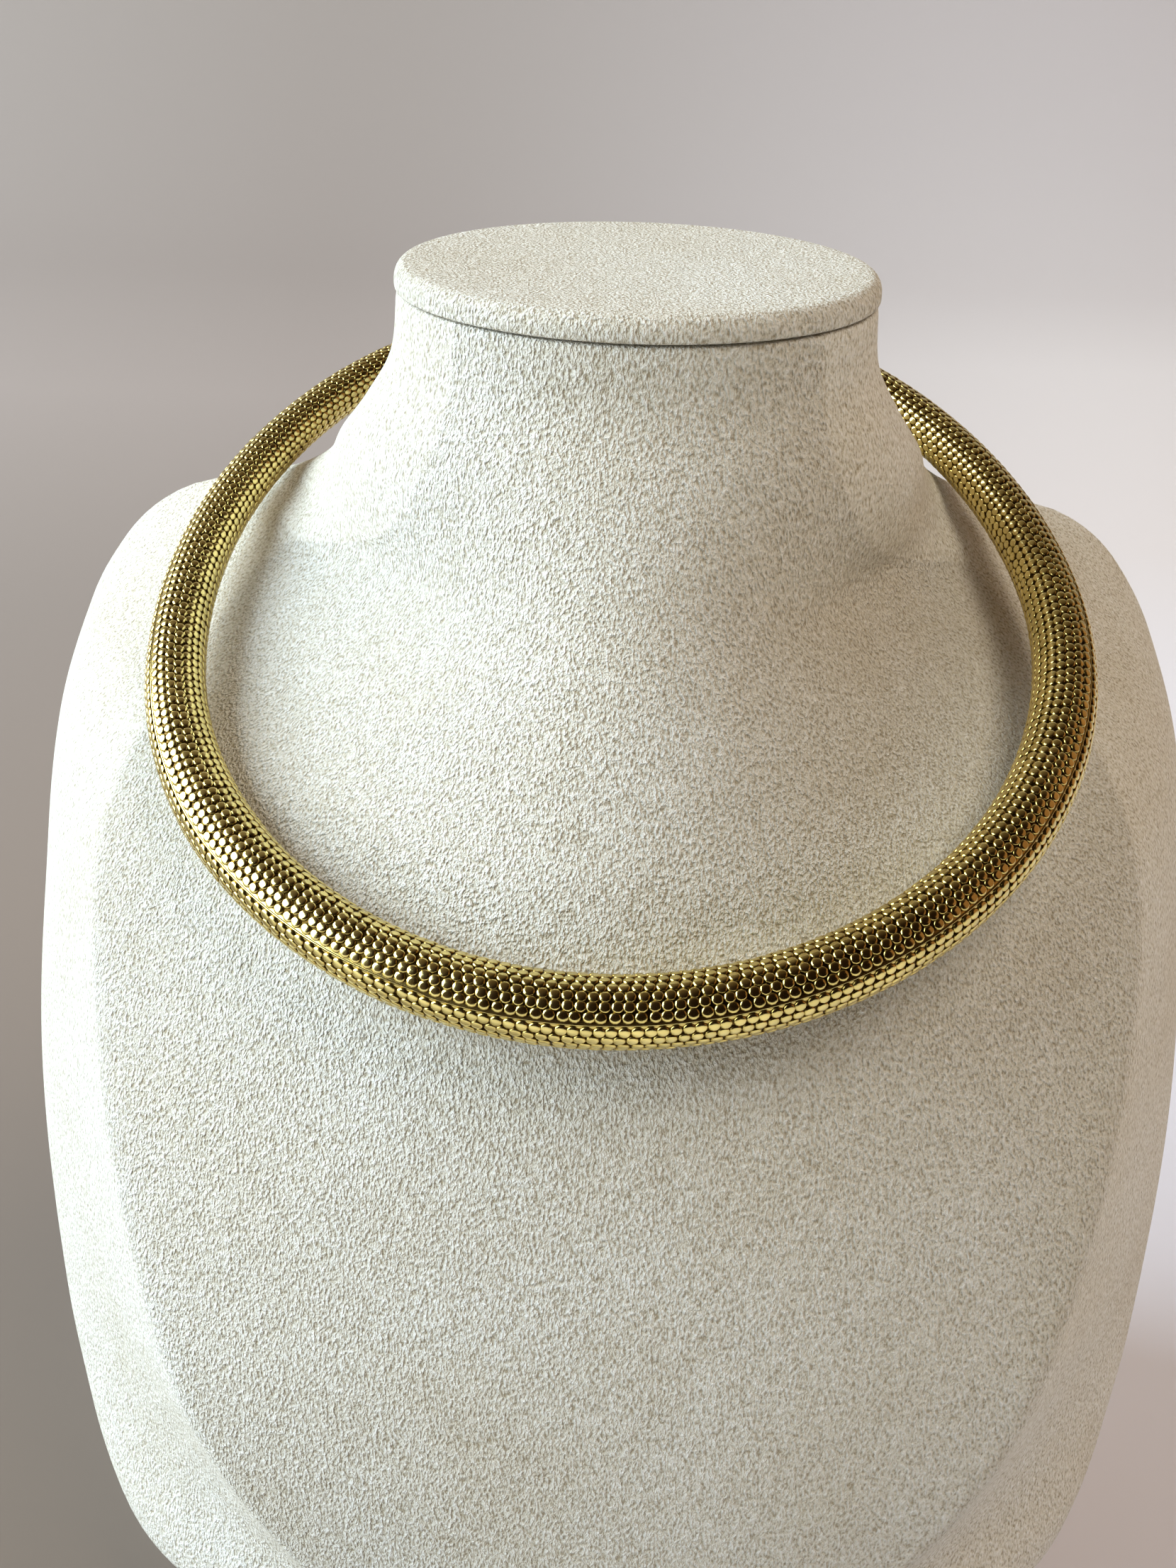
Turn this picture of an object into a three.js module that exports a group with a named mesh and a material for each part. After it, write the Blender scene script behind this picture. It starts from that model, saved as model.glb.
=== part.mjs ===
// A gold collar choker on the suede neck bust that displays it.
// Millimetres, +Z up. The bust faces -Y and +X is at the viewer's right.
// The finished group stands on z = 0 with its box centred on the Z axis.
// The collar is a rigid oval loop of hollow tube, closed at the back of the neck by one plain clasp.
// The bust is a moulded form with a separate round cap on its neck.

import * as THREE from 'three';
import { mergeVertices } from 'three/addons/utils/BufferGeometryUtils.js';

// The collar's loop, measured on the tube's centre line in the loop's own plane
const LOOP_HALF_WIDTH = 67;
const LOOP_FRONT_REACH = 68.9;
const LOOP_BACK_REACH = 78.6;

// The tube: its diameter is taken half way up its raised dots
const TUBE_DIAMETER = 9.5;
const TUBE_WALL = 0.6;
const TUBE_END_SHARE = 0.62;
const TAPER_START_DEG = 88;
const TUBE_SIDES = 20;
const TUBE_STEPS = 92;

// The clasp: a barrel between the tube's two ends, with a spigot into each of them
const CLASP_BARREL_LENGTH = 13;
const CLASP_SPIGOT_LENGTH = 5;
const CLASP_STEPS_PER_PART = 3;

// How the collar lies on the bust: it drops to the front and is turned a little about the neck
const COLLAR_DROP_DEG = 21.5;
const COLLAR_LEAN_DEG = -2.2;
const COLLAR_TURN_DEG = 8;
const COLLAR_SIDE_SHIFT = -1.2;
const COLLAR_BACK_SHIFT = -9.1;

// The bust, measured from the neck's axis
const BUST_HEIGHT = 228;
const SHOULDER_HALF_WIDTH = 105;
const CHEST_DEPTH = 90;
const BACK_DEPTH = 42;
const NECK_HALF_WIDTH = 34.5;
const NECK_HALF_DEPTH = 30.5;

// The round cap on the neck
const CAP_THICKNESS = 3.6;
const CAP_OVERHANG = 0.3;
const CAP_RIM_RADIUS = 1.4;
const CAP_SIDES = 48;
const CAP_RIM_STEPS = 4;

// Clearances between touching pieces
const SEAT_GAP = 0.3;
const FIT_GAP = 0.3;

// Sections of the bust from the neck's top down to the base, a row for each.
// drop: a share of the form's height.
// spread, chest, back: 0 at the neck's half width and half depth, 1 at the shoulder's half width,
// the chest's depth and the back's depth.
// edge_x, edge_y: where the front face turns into the side, as shares of the section's half width
// and front depth.
// widest_y: the share of the back's depth where the section is widest.
// face_deg, side_deg: the directions of the front face and of the side where they meet. Where they
// differ there is a crease.
// end_deg: the direction of the side where the section is widest.
// corner: how square the back corner is.
const SECTION_COLUMNS = [
  'drop', 'spread', 'chest', 'back', 'edge_x', 'edge_y', 'widest_y',
  'face_deg', 'side_deg', 'end_deg', 'corner',
];
const BUST_SECTIONS = [
  [0.000, 0.000, 0.000, 0.00, 0.707, 0.708, 0.00, 41, 41, 90, 0.55],
  [0.041, 0.016, 0.018, 0.09, 0.702, 0.696, 0.00, 42, 42, 90, 0.55],
  [0.076, 0.078, 0.079, 0.30, 0.685, 0.665, 0.09, 44, 44, 90, 0.57],
  [0.112, 0.153, 0.153, 0.65, 0.684, 0.543, 0.32, 47, 47, 90, 0.62],
  [0.148, 0.213, 0.227, 0.91, 0.727, 0.318, 0.59, 52, 52, 85, 0.70],
  [0.168, 0.284, 0.276, 1.00, 0.752, 0.107, 0.71, 54, 54, 75, 0.78],
  [0.181, 0.362, 0.309, 1.00, 0.767, -0.041, 0.81, 55, 55, 62, 0.84],
  [0.191, 0.475, 0.331, 1.00, 0.743, -0.139, 0.88, 55, 55, 48, 0.86],
  [0.198, 0.567, 0.348, 1.00, 0.725, -0.225, 0.92, 55, 54, 42, 0.88],
  [0.210, 0.652, 0.378, 1.00, 0.720, -0.217, 0.93, 54, 52, 48, 0.88],
  [0.230, 0.735, 0.424, 1.00, 0.724, -0.090, 0.93, 52, 50, 60, 0.88],
  [0.257, 0.804, 0.482, 1.00, 0.729, 0.118, 0.90, 46, 53, 75, 0.88],
  [0.286, 0.855, 0.543, 1.00, 0.770, 0.295, 0.86, 41, 58, 85, 0.88],
  [0.344, 0.909, 0.640, 1.00, 0.786, 0.481, 0.79, 38, 62, 90, 0.88],
  [0.460, 0.963, 0.782, 1.00, 0.729, 0.688, 0.67, 33, 62, 90, 0.86],
  [0.581, 1.000, 0.894, 1.00, 0.645, 0.816, 0.48, 25, 58, 90, 0.86],
  [0.679, 0.972, 0.953, 1.00, 0.575, 0.883, 0.14, 19, 53, 90, 0.86],
  [0.768, 0.894, 0.988, 1.00, 0.459, 0.924, -0.33, 15, 44, 90, 0.86],
  [0.826, 0.809, 1.000, 1.00, 0.306, 0.961, -0.67, 12, 32, 90, 0.86],
  [0.857, 0.759, 0.992, 1.00, 0.205, 0.978, -0.81, 9, 20, 90, 0.86],
  [0.893, 0.702, 0.933, 1.00, 0.214, 0.983, -0.90, 9, 12, 90, 0.86],
  [1.000, 0.518, 0.714, 1.00, 0.254, 0.979, -0.81, 9, 12, 90, 0.86],
].map((row) => Object.fromEntries(row.map((value, column) => [SECTION_COLUMNS[column], value])));
const FACE_STEPS = 8;
const SIDE_STEPS = 6;
const BACK_STEPS = 5;
const LARGEST_SECTION_STEP = 0.036;

// Lengths of a curve's handles as shares of its chord, for arcs of about 45 degrees
const ARC_HANDLE = 0.345;

const SUEDE = { color: 0xe6e0d4, roughness: 0.95, metalness: 0.0 };
const GOLD = { color: 0xc9a445, roughness: 0.28, metalness: 1.0 };

function material(look) {
  return new THREE.MeshStandardMaterial(look);
}

function radians(degrees) {
  return THREE.MathUtils.degToRad(degrees);
}

// A closed mesh from rings of points: each ring is joined to the next one, and the list of rings
// either closes on itself or is capped at both ends with a fan about each end ring's middle.
function meshFromRings(rings, closesOnItself) {
  const size = rings[0].length;
  const positions = rings.flat().flatMap((point) => point.toArray());
  const triangles = [];
  const joins = closesOnItself ? rings.length : rings.length - 1;
  for (let ring = 0; ring < joins; ring += 1) {
    const here = ring * size;
    const next = ((ring + 1) % rings.length) * size;
    for (let side = 0; side < size; side += 1) {
      const across = (side + 1) % size;
      triangles.push(here + side, here + across, next + across);
      triangles.push(here + side, next + across, next + side);
    }
  }
  for (const ring of closesOnItself ? [] : [0, rings.length - 1]) {
    const middle = positions.length / 3;
    const centre = new THREE.Vector3();
    rings[ring].forEach((point) => centre.addScaledVector(point, 1 / size));
    positions.push(...centre.toArray());
    for (let side = 0; side < size; side += 1) {
      const here = ring * size + side;
      const across = ring * size + (side + 1) % size;
      triangles.push(middle, ...(ring === 0 ? [across, here] : [here, across]));
    }
  }
  const geometry = new THREE.BufferGeometry();
  geometry.setAttribute('position', new THREE.Float32BufferAttribute(positions, 3));
  geometry.setIndex(triangles);
  return mergeVertices(geometry);
}

// A value of the sections' table at any drop, on a smooth curve through its rows
function sectionAt(drop) {
  const rows = BUST_SECTIONS;
  const last = rows.length - 1;
  let row = rows.findIndex((section, index) => index < last && drop <= rows[index + 1].drop);
  row = row < 0 ? last - 1 : row;
  const span = rows[row + 1].drop - rows[row].drop;
  const t = (drop - rows[row].drop) / span;
  const slope = (index, column) => {
    const low = Math.max(index - 1, 0);
    const high = Math.min(index + 1, last);
    return (rows[high][column] - rows[low][column]) / (rows[high].drop - rows[low].drop);
  };
  const section = {};
  for (const column of Object.keys(rows[0])) {
    const from = rows[row][column];
    const to = rows[row + 1][column];
    const leave = slope(row, column) * span;
    const arrive = slope(row + 1, column) * span;
    section[column] = from * (1 + 2 * t) * (1 - t) ** 2 + to * t * t * (3 - 2 * t)
      + leave * t * (1 - t) ** 2 - arrive * t * t * (1 - t);
  }
  section.drop = drop;
  return section;
}

function grown(from, to, share) {
  return from + share * (to - from);
}

// An arc of a section that leaves one point and arrives at another in given directions
function arcPoints(from, to, leaveDeg, arriveDeg, steps) {
  const handle = ARC_HANDLE * from.distanceTo(to);
  const leave = new THREE.Vector2(Math.cos(radians(leaveDeg)), Math.sin(radians(leaveDeg)));
  const arrive = new THREE.Vector2(Math.cos(radians(arriveDeg)), Math.sin(radians(arriveDeg)));
  const curve = new THREE.CubicBezierCurve(
    from, from.clone().addScaledVector(leave, handle), to.clone().addScaledVector(arrive, -handle), to);
  return curve.getPoints(steps).slice(0, -1);
}

// One level section of the bust, from the middle of its front round to the middle of its front
function bustRing(section, formHeight) {
  const halfWidth = grown(NECK_HALF_WIDTH, SHOULDER_HALF_WIDTH, section.spread);
  const front = grown(NECK_HALF_DEPTH, CHEST_DEPTH, section.chest);
  const back = grown(NECK_HALF_DEPTH, BACK_DEPTH, section.back);
  const frontMiddle = new THREE.Vector2(0, -front);
  const edge = new THREE.Vector2(section.edge_x * halfWidth, -section.edge_y * front);
  const widest = new THREE.Vector2(halfWidth, section.widest_y * back);
  const backMiddle = new THREE.Vector2(0, back);
  const corner = new THREE.CubicBezierCurve(
    widest,
    new THREE.Vector2(halfWidth, widest.y + section.corner * (back - widest.y)),
    new THREE.Vector2(section.corner * halfWidth, back),
    backMiddle);
  const half = [
    ...arcPoints(frontMiddle, edge, 0, section.face_deg, FACE_STEPS),
    ...arcPoints(edge, widest, section.side_deg, section.end_deg, SIDE_STEPS),
    ...corner.getPoints(BACK_STEPS),
  ];
  const otherHalf = half.slice(1, -1).reverse().map((point) => new THREE.Vector2(-point.x, point.y));
  const height = (1 - section.drop) * formHeight;
  return [...half, ...otherHalf].map((point) => new THREE.Vector3(point.x, point.y, height));
}

function bustForm() {
  const formHeight = BUST_HEIGHT - CAP_THICKNESS - FIT_GAP;
  const rings = [];
  for (let row = BUST_SECTIONS.length - 1; row > 0; row -= 1) {
    const from = BUST_SECTIONS[row].drop;
    const to = BUST_SECTIONS[row - 1].drop;
    const steps = Math.ceil((from - to) / LARGEST_SECTION_STEP);
    for (let step = 0; step < steps; step += 1) {
      rings.push(bustRing(sectionAt(from + (to - from) * step / steps), formHeight));
    }
  }
  rings.push(bustRing(sectionAt(0), formHeight));
  const mesh = new THREE.Mesh(meshFromRings(rings, false), material(SUEDE));
  mesh.name = 'bust_form';
  return mesh;
}

// The cap's profile is turned about the neck's axis: a flat disc with a rounded rim
function neckCap() {
  const radius = NECK_HALF_WIDTH + CAP_OVERHANG;
  const half = CAP_THICKNESS / 2;
  const rim = Math.min(CAP_RIM_RADIUS, 0.45 * CAP_THICKNESS);
  const profile = [new THREE.Vector2(0, -half)];
  for (const side of [-1, 1]) {
    for (let step = 0; step <= CAP_RIM_STEPS; step += 1) {
      const share = side < 0 ? step / CAP_RIM_STEPS : 1 - step / CAP_RIM_STEPS;
      const angle = share * Math.PI / 2;
      profile.push(new THREE.Vector2(
        radius - rim + rim * Math.sin(angle), side * (half - rim + rim * Math.cos(angle))));
    }
  }
  profile.push(new THREE.Vector2(0, half));
  const geometry = new THREE.LatheGeometry(profile, CAP_SIDES);
  geometry.deleteAttribute('normal');
  geometry.deleteAttribute('uv');
  geometry.rotateX(Math.PI / 2);
  geometry.scale(1, (NECK_HALF_DEPTH + CAP_OVERHANG) / radius, 1);
  const mesh = new THREE.Mesh(mergeVertices(geometry), material(SUEDE));
  mesh.name = 'neck_cap';
  mesh.position.z = BUST_HEIGHT - half;
  return mesh;
}

// The loop's centre line in its own plane: angle 0 is the front, and +90 degrees is on +X
function loopPoint(angle) {
  const reach = Math.cos(angle) > 0 ? LOOP_FRONT_REACH : LOOP_BACK_REACH;
  return new THREE.Vector3(LOOP_HALF_WIDTH * Math.sin(angle), -reach * Math.cos(angle), 0);
}

// Angles of the loop at even distances from the middle of the clasp, and their distances
function loopLengths() {
  const fine = 1440;
  const table = [{ angle: -Math.PI, length: 0 }];
  for (let step = 1; step <= fine; step += 1) {
    const angle = -Math.PI + 2 * Math.PI * step / fine;
    const run = loopPoint(angle).distanceTo(loopPoint(table.at(-1).angle));
    table.push({ angle, length: table.at(-1).length + run });
  }
  return table;
}
const LOOP_TABLE = loopLengths();
const LOOP_LENGTH = LOOP_TABLE.at(-1).length;

function angleAtLength(length) {
  const wrapped = THREE.MathUtils.euclideanModulo(length, LOOP_LENGTH);
  const next = Math.max(1, LOOP_TABLE.findIndex((entry) => entry.length >= wrapped));
  const low = LOOP_TABLE[next - 1];
  const high = LOOP_TABLE[next];
  return low.angle + (high.angle - low.angle) * (wrapped - low.length) / (high.length - low.length);
}

// The tube is even round the front and narrows towards its two ends at the back
function tubeRadius(angle) {
  const start = radians(TAPER_START_DEG);
  const share = THREE.MathUtils.clamp((Math.abs(angle) - start) / (Math.PI - start), 0, 1);
  return 0.5 * TUBE_DIAMETER * (1 - (1 - TUBE_END_SHARE) * share);
}

// One round section of the collar, square to the loop at a distance along it
function collarRing(length, radius) {
  const angle = angleAtLength(length);
  const centre = loopPoint(angle);
  const outward = new THREE.Vector3(0, 0, 1).cross(
    loopPoint(angle + 0.001).sub(loopPoint(angle - 0.001))).normalize().negate();
  const ring = [];
  for (let side = 0; side < TUBE_SIDES; side += 1) {
    const turn = 2 * Math.PI * side / TUBE_SIDES;
    ring.push(centre.clone()
      .addScaledVector(outward, radius * Math.cos(turn))
      .add(new THREE.Vector3(0, 0, -radius * Math.sin(turn))));
  }
  return ring;
}

// The tube is one wall: its outer skin runs from end to end and its inner skin runs back
function collarTube() {
  const start = CLASP_BARREL_LENGTH / 2 + FIT_GAP;
  const run = LOOP_LENGTH - 2 * start;
  const outer = [];
  const inner = [];
  for (let step = 0; step <= TUBE_STEPS; step += 1) {
    const length = start + run * step / TUBE_STEPS;
    const radius = tubeRadius(angleAtLength(length));
    outer.push(collarRing(length, radius));
    inner.push(collarRing(length, radius - TUBE_WALL));
  }
  const mesh = new THREE.Mesh(meshFromRings([...outer, ...inner.reverse()], true), material(GOLD));
  mesh.name = 'collar_tube';
  return mesh;
}

// The clasp is one plain barrel with a spigot at each end, along the loop's own curve
function collarClasp() {
  const half = CLASP_BARREL_LENGTH / 2;
  const barrel = tubeRadius(Math.PI);
  const spigot = tubeRadius(angleAtLength(half)) - TUBE_WALL - FIT_GAP;
  const parts = [
    { from: -half - CLASP_SPIGOT_LENGTH, to: -half, radius: spigot },
    { from: -half, to: half, radius: barrel },
    { from: half, to: half + CLASP_SPIGOT_LENGTH, radius: spigot },
  ];
  const rings = [];
  for (const { from, to, radius } of parts) {
    for (let step = 0; step <= CLASP_STEPS_PER_PART; step += 1) {
      rings.push(collarRing(from + (to - from) * step / CLASP_STEPS_PER_PART, radius));
    }
  }
  const mesh = new THREE.Mesh(meshFromRings(rings, false), material(GOLD));
  mesh.name = 'collar_clasp';
  return mesh;
}

// The least gap between the collar's tube and a solid, with the collar at a given height
function gapToSolid(collar, height, solid) {
  collar.position.z = height;
  collar.updateMatrixWorld(true);
  const index = solid.index.array;
  const corners = solid.attributes.position;
  const triangle = new THREE.Triangle();
  const nearest = new THREE.Vector3();
  let least = Infinity;
  for (let step = 0; step < TUBE_STEPS; step += 1) {
    const angle = angleAtLength(LOOP_LENGTH * step / TUBE_STEPS);
    const centre = loopPoint(angle).applyMatrix4(collar.matrixWorld);
    for (let face = 0; face < index.length; face += 3) {
      triangle.setFromAttributeAndIndices(corners, index[face], index[face + 1], index[face + 2]);
      triangle.closestPointToPoint(centre, nearest);
      least = Math.min(least, nearest.distanceTo(centre) - tubeRadius(angle));
    }
  }
  return least;
}

// The collar comes down over the neck until it is a seat's gap from the bust
function seatCollar(collar, solid) {
  let high = BUST_HEIGHT;
  let low = BUST_HEIGHT;
  while (gapToSolid(collar, low, solid) > SEAT_GAP && low > 0) {
    high = low;
    low -= TUBE_DIAMETER / 4;
  }
  for (let halving = 0; halving < 12; halving += 1) {
    const middle = (high + low) / 2;
    if (gapToSolid(collar, middle, solid) > SEAT_GAP) high = middle;
    else low = middle;
  }
  gapToSolid(collar, high, solid);
}

function collarOnBust(bust) {
  const collar = new THREE.Group();
  collar.add(collarTube(), collarClasp());
  collar.rotation.order = 'XYZ';
  collar.rotation.set(radians(COLLAR_DROP_DEG), radians(COLLAR_LEAN_DEG), radians(COLLAR_TURN_DEG));
  collar.position.set(COLLAR_SIDE_SHIFT, COLLAR_BACK_SHIFT, BUST_HEIGHT);
  seatCollar(collar, bust.geometry);
  return collar;
}

const bust = bustForm();
const part = new THREE.Group();
part.add(bust, neckCap(), collarOnBust(bust));

// Centre the whole on its box, standing on z = 0
part.updateMatrixWorld(true);
const box = new THREE.Box3().setFromObject(part, true);
part.position.set(-(box.min.x + box.max.x) / 2, -(box.min.y + box.max.y) / 2, -box.min.z);
part.updateMatrixWorld(true);

export default part;
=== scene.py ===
# %% [markdown]
# # A gold collar choker on its suede neck bust
# The object is a rigid round necklace made of one hollow tube, lying on the cream suede bust that
# displays it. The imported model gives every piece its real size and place. This notebook dresses it:
# the bust gets a smooth form and a brushed nap, and the tube gets its rows of small raised dots.
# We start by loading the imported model, because everything else is placed by it.

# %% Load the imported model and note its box
import math

import bpy
import numpy as np
from mathutils import Matrix, Vector


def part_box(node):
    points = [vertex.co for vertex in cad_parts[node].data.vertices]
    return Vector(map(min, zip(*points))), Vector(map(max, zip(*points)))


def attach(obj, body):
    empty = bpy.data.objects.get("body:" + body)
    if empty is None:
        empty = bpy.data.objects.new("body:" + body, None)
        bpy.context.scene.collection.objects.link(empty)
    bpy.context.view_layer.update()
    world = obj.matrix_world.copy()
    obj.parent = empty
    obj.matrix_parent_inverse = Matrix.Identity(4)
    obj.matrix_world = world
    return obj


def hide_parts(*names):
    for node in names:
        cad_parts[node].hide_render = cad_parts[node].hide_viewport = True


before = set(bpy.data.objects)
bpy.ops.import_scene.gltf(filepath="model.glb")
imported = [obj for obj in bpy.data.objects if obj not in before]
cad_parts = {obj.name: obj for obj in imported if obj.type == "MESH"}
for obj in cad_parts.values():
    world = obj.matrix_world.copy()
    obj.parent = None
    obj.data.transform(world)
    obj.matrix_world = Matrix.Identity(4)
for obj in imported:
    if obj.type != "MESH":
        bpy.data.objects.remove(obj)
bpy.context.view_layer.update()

print("nodes:", sorted(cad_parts))

# %% [markdown]
# ## Small tools
# Sizes on the real object are known in millimetres and Blender works in metres, so one short
# function turns one into the other. Colours are written as the hex values that a screen shows, and
# Blender's shaders want linear light, so one function does that too. One more function adds a node
# to a shader or a geometry tree with its settings and its links, which keeps each tree readable.

# %% Units, colours and nodes
MM_PER_METRE = 1000


def mm(value):
    """A length or a place in millimetres, or an array of them, in metres."""
    return value * 0.001


def linear(hex_colour):
    """An sRGB hex colour as linear red, green, blue and alpha."""
    channels = [int(hex_colour[place:place + 2], 16) / 255 for place in (1, 3, 5)]
    return [c / 12.92 if c <= 0.04045 else ((c + 0.055) / 1.055) ** 2.4 for c in channels] + [1.0]


def add(tree, kind, inputs=None, stops=None, **settings):
    """Adds a node: settings are its own options, inputs are values or sockets to link from."""
    node = tree.nodes.new(kind)
    for name, value in settings.items():
        setattr(node, name, value)
    for key, value in (inputs or {}).items():
        if isinstance(value, bpy.types.NodeSocket):
            tree.links.new(value, node.inputs[key])
        else:
            node.inputs[key].default_value = value
    for number, (place, colour) in enumerate(stops or []):
        while len(node.color_ramp.elements) <= number:
            node.color_ramp.elements.new(place)
        node.color_ramp.elements[number].position = place
        node.color_ramp.elements[number].color = linear(colour)
    return node


def new_material(name):
    """A material with a Principled surface, and its node tree."""
    material = bpy.data.materials.new(name)
    material.use_nodes = True
    tree = material.node_tree
    tree.nodes.clear()
    surface = add(tree, "ShaderNodeBsdfPrincipled")
    add(tree, "ShaderNodeOutputMaterial", {"Surface": surface.outputs[0]})
    return material, tree, surface


print("5 mm is", mm(5), "m, and mid grey #808080 is", round(linear("#808080")[0], 3),
      "in linear light")

# %% [markdown]
# ## Meshes from rings
# The bust, its cap, the tube and the clasp are all rings of points joined one to the next. Building
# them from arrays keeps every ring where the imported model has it, only with many more points, so
# the facets of the plain solids disappear. Ends are closed with a fan about the end ring's middle.

# %% Rings to a closed mesh
def mesh_from_rings(name, rings, material, closes_on_itself=False, attributes=None):
    """rings is an array of (ring, point, xyz) in mm, turning right-handed along its way."""
    rings = np.asarray(rings, float)
    ring_count, size = rings.shape[:2]
    points = rings.reshape(-1, 3)
    side = np.arange(size)
    across = (side + 1) % size
    faces = []
    for ring in range(ring_count if closes_on_itself else ring_count - 1):
        here, there = ring * size, (ring + 1) % ring_count * size
        corners = [here + side, here + across, there + across, there + side]
        faces += np.column_stack(corners).tolist()
    if not closes_on_itself:
        first, last = len(points), len(points) + 1
        points = np.vstack([points, rings[0].mean(0), rings[-1].mean(0)])
        start = (ring_count - 1) * size
        faces += np.column_stack([across, side, np.full(size, first)]).tolist()
        faces += np.column_stack([start + side, start + across, np.full(size, last)]).tolist()
    mesh = bpy.data.meshes.new(name)
    mesh.from_pydata(mm(points).tolist(), [], faces)
    mesh.polygons.foreach_set("use_smooth", [True] * len(mesh.polygons))
    for label, values in (attributes or {}).items():
        values = np.asarray(values, float).reshape(-1)
        values = np.concatenate([values, [values[0], values[-1]][:len(points) - len(values)]])
        mesh.attributes.new(label, "FLOAT", "POINT").data.foreach_set("value", values)
    mesh.materials.append(material)
    mesh.update()
    piece = bpy.data.objects.new(name, mesh)
    bpy.context.scene.collection.objects.link(piece)
    print(f"{name}: {len(points)} points, {len(faces)} faces")
    return piece


# %% [markdown]
# ## The camera
# The photo looks down on the bust from just above its cap. The distances between things that are
# near and far in the picture fix the lens, and the outlines of the cap, the shoulders and the
# collar fix where the camera stood. It is also tipped a little to one side. Blender measures the
# lens against the longer side of the picture, so pixels are turned into millimetres of film with
# that.

# %% Camera
PHOTO_HEIGHT_PX = 2212
FOCAL_PX = 2400
FILM_MM = 36.0
CAMERA_PLACE_MM = (-4.9, -236.5, 281.8)
LOOKS_DOWN_DEG = 29.3
TIPS_DEG = 1.75

camera_data = bpy.data.cameras.new("camera")
camera_data.sensor_fit = "AUTO"
camera_data.sensor_width = FILM_MM
camera_data.lens = FOCAL_PX * FILM_MM / PHOTO_HEIGHT_PX
camera_data.clip_start = 0.01
camera = bpy.data.objects.new("camera", camera_data)
bpy.context.scene.collection.objects.link(camera)
look_down, tip = math.radians(LOOKS_DOWN_DEG), math.radians(TIPS_DEG)
forward = Vector((0, math.cos(look_down), -math.sin(look_down)))
level_right = Vector((1, 0, 0))
level_down = Vector((0, -math.sin(look_down), -math.cos(look_down)))
right = math.cos(tip) * level_right - math.sin(tip) * level_down
down = math.sin(tip) * level_right + math.cos(tip) * level_down
turn = Matrix((right, -down, -forward)).transposed().to_4x4()
camera.matrix_world = Matrix.Translation(mm(Vector(CAMERA_PLACE_MM))) @ turn
bpy.context.scene.camera = camera
print("lens", round(camera_data.lens, 2), "mm")

# %% [markdown]
# ## Floor, backdrop and light
# A studio sweep is a floor that curves up into a wall, so no edge shows behind the object. Light
# and shade are painted on its card, from the floor to the wall and from left to right: a near white
# pool of painted light in front of the bust, painted shade on the left and paler painted light on
# the right.
# A polished tube shows its surroundings, so the lights are placed for what it mirrors. A tall cool
# window on the left gives the collar its white left flank, and a faint warm wall on the right its
# amber side. A soft light high on the right lights only the cloth, and a bright pane is seen only
# in the metal. The world is dim and brown, and darkest at the front right: that gives the collar
# its deep brown lines.

# %% Floor and backdrop
# The sweep in metres: its front edge, its wall and where its tones begin are places along Y
SWEEP_FRONT, SWEEP_WALL, SWEEP_HEIGHT, SWEEP_HALF_WIDTH = -1.6, 1.5, 1.9, 2.4
SWEEP_BEND, BEND_STEPS = 0.5, 12
TONES_FROM = -0.5
# Half the width that the picture shows, at Y = 0 and how much wider for each metre behind it
VIEW_START, VIEW_GROWTH = 0.115, 0.27


def sweep_profile():
    """Points of the sweep from the front of the floor to the top of the wall."""
    points = [(SWEEP_FRONT, 0.0), (TONES_FROM, 0.0), (0.4, 0.0)]
    for step in range(BEND_STEPS + 1):
        angle = step / BEND_STEPS * math.pi / 2
        points.append((SWEEP_WALL - SWEEP_BEND + SWEEP_BEND * math.sin(angle),
                       SWEEP_BEND - SWEEP_BEND * math.cos(angle)))
    return points + [(SWEEP_WALL, SWEEP_HEIGHT)]


# Painted light and shade on the card from there to the wall, on the picture's left and on its right
LEFT_PAINTED_LIGHTING = [(0.1, "#e9e5dd"), (0.22, "#7a6e64"), (0.28, "#8a7d73"), (0.45, "#968b84"),
              (0.6, "#aa9e98"), (1.0, "#a1968f")]
RIGHT_PAINTED_LIGHTING = [(0.1, "#e9e5dd"), (0.22, "#dcdae4"), (0.28, "#e2e1ec"), (0.5, "#e2dad9"),
               (0.65, "#e6dfde"), (1.0, "#c2b9b8")]

backdrop_paper, tree, surface = new_material("matt card with painted light and shade")
where = add(tree, "ShaderNodeTexCoord")
place = add(tree, "ShaderNodeSeparateXYZ", {0: where.outputs["Object"]})
along_floor = add(tree, "ShaderNodeMapRange", {
    "Value": place.outputs["Y"], "From Min": TONES_FROM, "From Max": SWEEP_WALL})
left_painted_lighting = add(tree, "ShaderNodeValToRGB", {0: along_floor.outputs[0]}, stops=LEFT_PAINTED_LIGHTING)
right_painted_lighting = add(tree, "ShaderNodeValToRGB", {0: along_floor.outputs[0]}, stops=RIGHT_PAINTED_LIGHTING)
half_view = add(tree, "ShaderNodeMath", {
    0: place.outputs["Y"], 1: VIEW_GROWTH, 2: VIEW_START}, operation="MULTIPLY_ADD")
sideways = add(tree, "ShaderNodeMath", {0: place.outputs["X"], 1: half_view.outputs[0]},
               operation="DIVIDE")
rightness = add(tree, "ShaderNodeMapRange", {
    "Value": sideways.outputs[0], "From Min": -0.6, "From Max": 1.0},
    interpolation_type="SMOOTHSTEP")
# The painted shade of the left and the painted light of the right, blended across the view
tint = add(tree, "ShaderNodeMix", {
    0: rightness.outputs[0], 6: left_painted_lighting.outputs[0], 7: right_painted_lighting.outputs[0]}, data_type="RGBA")
tree.links.new(tint.outputs[2], surface.inputs["Base Color"])
surface.inputs["Roughness"].default_value = 0.9
surface.inputs["Specular IOR Level"].default_value = 0.2

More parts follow.
